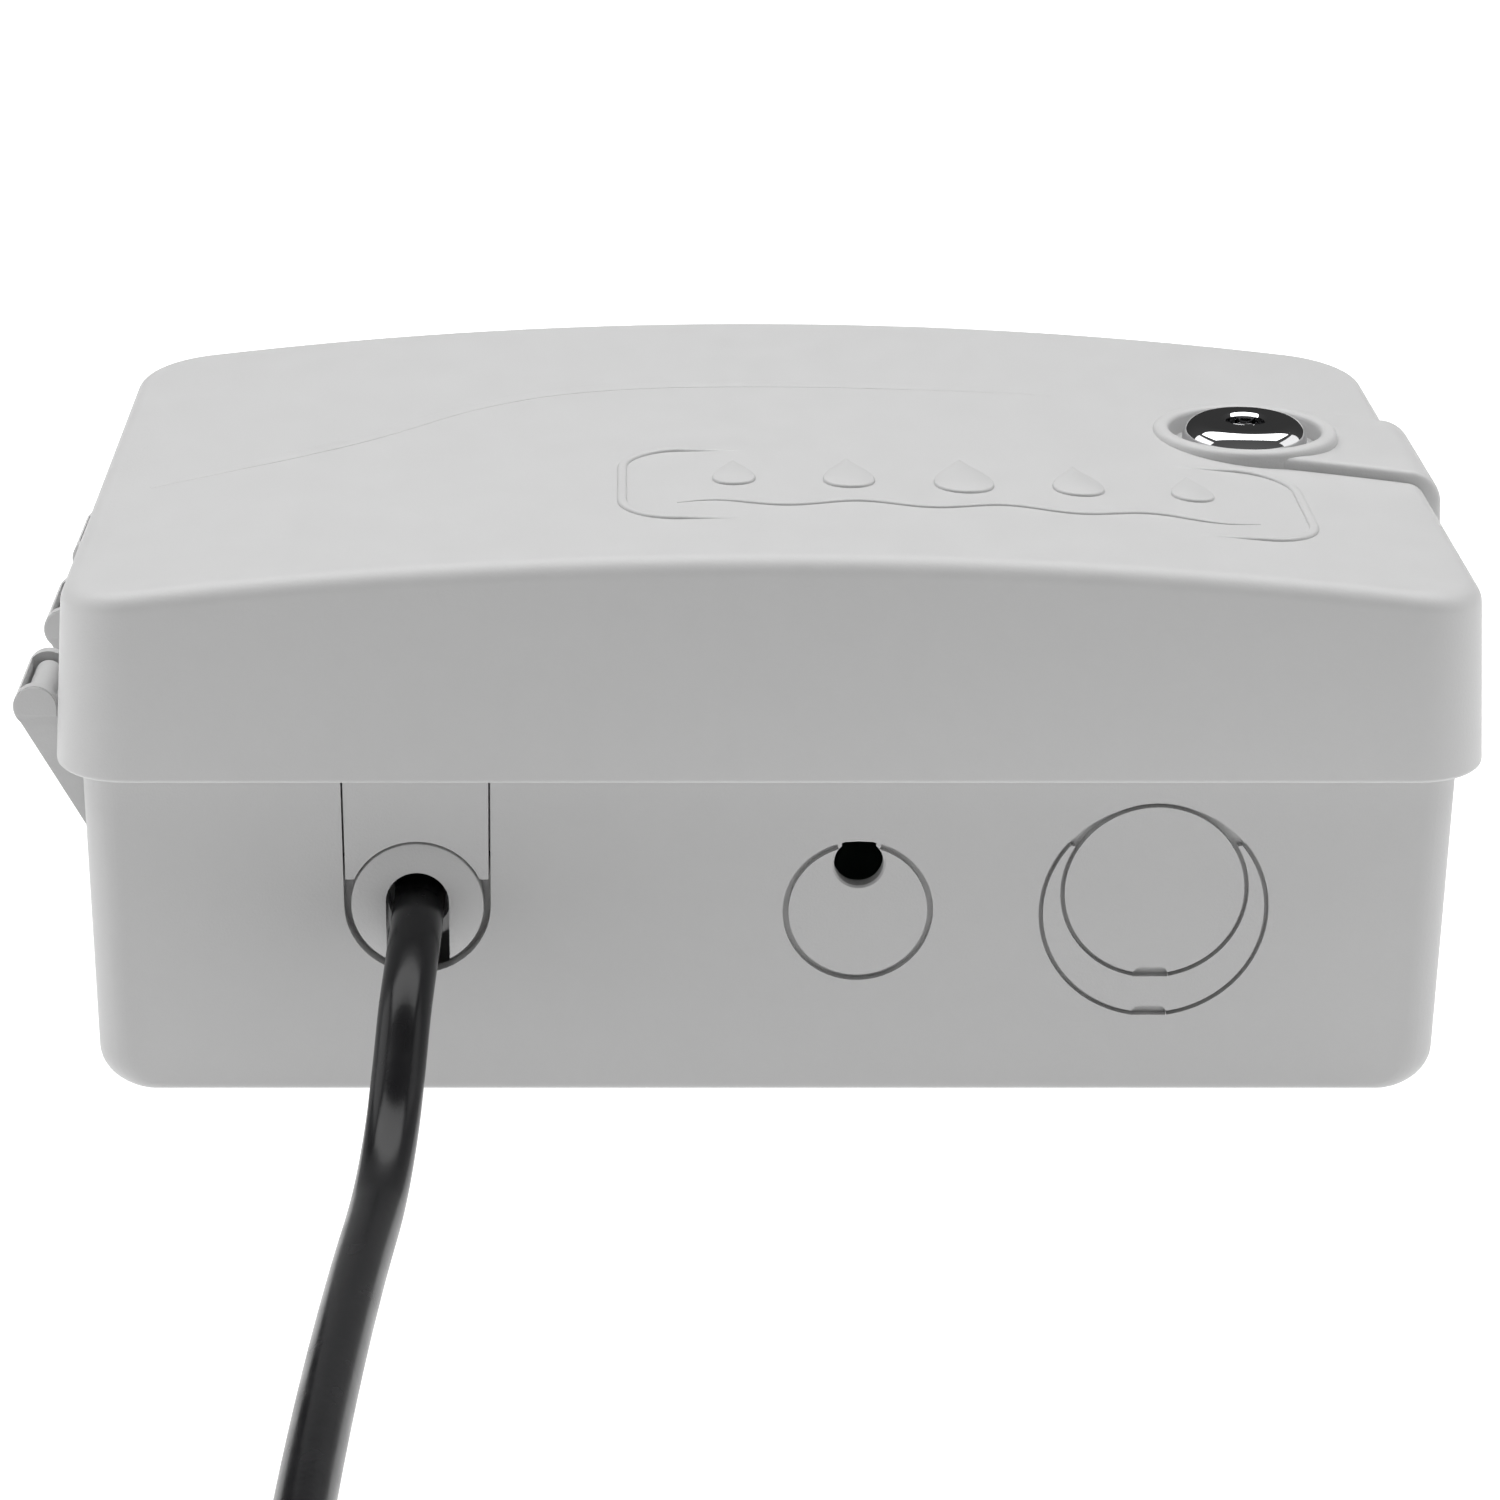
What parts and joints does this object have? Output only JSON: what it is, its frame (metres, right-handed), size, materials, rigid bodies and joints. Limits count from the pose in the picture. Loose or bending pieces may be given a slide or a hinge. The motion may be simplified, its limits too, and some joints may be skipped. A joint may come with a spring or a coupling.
{
  "type": "irrigation controller",
  "caption": "Outdoor irrigation controller: lockable hinged grey case with a dial, display, keys, transformer and terminals inside, and a coiled black mains cord with a moulded plug.",
  "frame": {"origin": "middle of the bottom of the box around the case (the free cord, coil and plug left out); the case lies on its back", "axes": "+X along the width from the hinge side to the lock side, +Y from the conduit wall to the far end wall (up when hung), +Z out of the back, towards the lid"},
  "size_m": [0.2278, 0.4129, 0.0899],
  "materials": {
    "shell_grey": "fine-grained moulded plastic",
    "panel_grey": "satin moulded plastic",
    "black_plastic": "satin",
    "knob_plastic": "semi-gloss",
    "key_rubber": "matt",
    "seal_rubber": "matt closed-cell",
    "cord_black": "semi-gloss cable jacket",
    "steel": "zinc plated",
    "chrome": "polished",
    "brass": "machined",
    "core_steel": "varnished laminations",
    "coil_tape": "polyester tape",
    "lead_red": "PVC insulation",
    "board_green": "solder mask",
    "terminal_green": "satin",
    "lcd_glass": "glossy",
    "clear_window": "clear polycarbonate"
  },
  "bodies": {
    "case": {"base_box": "shell_grey", "board_screw_1": "steel", "board_screw_2": "steel", "board_screw_3": "steel", "board_screw_4": "steel", "button_switches": "black_plastic", "cell_holder": "black_plastic", "circuit_board": "board_green", "coin_cell": "steel", "control_panel": "panel_grey", "cord_bushing": "shell_grey", "cord_clamp": "black_plastic", "cord_clamp_screw_1": "steel", "cord_clamp_screw_2": "steel", "cord_coil": "cord_black", "cord_gate": "shell_grey", "dial_encoder": "black_plastic", "display_window": "clear_window", "hinge_pin_far": "steel", "hinge_pin_middle": "steel", "hinge_pin_near": "steel", "lcd_module": "lcd_glass", "lock_strike": "steel", "mains_cord": "cord_black", "mains_lead": "cord_black", "panel_screw_1": "steel", "panel_screw_2": "steel", "panel_screw_3": "steel", "panel_screw_4": "steel", "plug_body": "cord_black", "plug_contacts": "brass", "secondary_lead": "lead_red", "sensor_switch": "steel", "strike_screw_1": "steel", "strike_screw_2": "steel", "terminal_block": "terminal_green", "transformer_bracket": "steel", "transformer_coil": "coil_tape", "transformer_core": "core_steel", "transformer_screw_1": "steel", "transformer_screw_2": "steel"},
    "lid": {"lid": "shell_grey", "lid_gasket": "seal_rubber", "lock_housing": "chrome", "lock_nut": "steel"},
    "lock": {"lock_plug": "brass", "lock_cam": "steel", "cam_screw": "steel"},
    "dial": {"dial_knob": "knob_plastic", "dial_shaft": "steel"},
    "sensor_slide": {"sensor_slider": "black_plastic"},
    "key_back": {"button_back": "key_rubber"},
    "key_next": {"button_next": "key_rubber"},
    "key_minus": {"button_minus": "key_rubber"},
    "key_plus": {"button_plus": "key_rubber"},
    "key_manual": {"button_manual": "key_rubber"}
  },
  "joints": [
    {"name": "lid_hinge", "type": "hinge", "parent": "case", "child": "lid", "pos_m": [-0.1103, 0, 0.0592], "axis": [0, -1, 0], "range_deg": [0, 110]},
    {"name": "lock_turn", "type": "hinge", "parent": "lid", "child": "lock", "pos_m": [0.08215, 0.0069, 0.08512], "axis": [0, 0, -1], "range_deg": [0, 90]},
    {"name": "dial_turn", "type": "hinge", "parent": "case", "child": "dial", "pos_m": [0.03825, 0.0234, 0.06], "axis": [0, 0, 1], "continuous": true},
    {"name": "press_back", "type": "slide", "parent": "case", "child": "key_back", "axis": [0, 0, -1], "range_m": [0, 0.0012], "stiffness_N_per_m": 500, "springref_m": -0.0006},
    {"name": "press_next", "type": "slide", "parent": "case", "child": "key_next", "axis": [0, 0, -1], "range_m": [0, 0.0012], "stiffness_N_per_m": 500, "springref_m": -0.0006},
    {"name": "press_minus", "type": "slide", "parent": "case", "child": "key_minus", "axis": [0, 0, -1], "range_m": [0, 0.0012], "stiffness_N_per_m": 500, "springref_m": -0.0006},
    {"name": "press_plus", "type": "slide", "parent": "case", "child": "key_plus", "axis": [0, 0, -1], "range_m": [0, 0.0012], "stiffness_N_per_m": 500, "springref_m": -0.0006},
    {"name": "press_manual", "type": "slide", "parent": "case", "child": "key_manual", "axis": [0, 0, -1], "range_m": [0, 0.0012], "stiffness_N_per_m": 500, "springref_m": -0.0006},
    {"name": "sensor_slide_move", "type": "slide", "parent": "case", "child": "sensor_slide", "axis": [1, 0, 0], "range_m": [0, 0.005]}
  ]
}
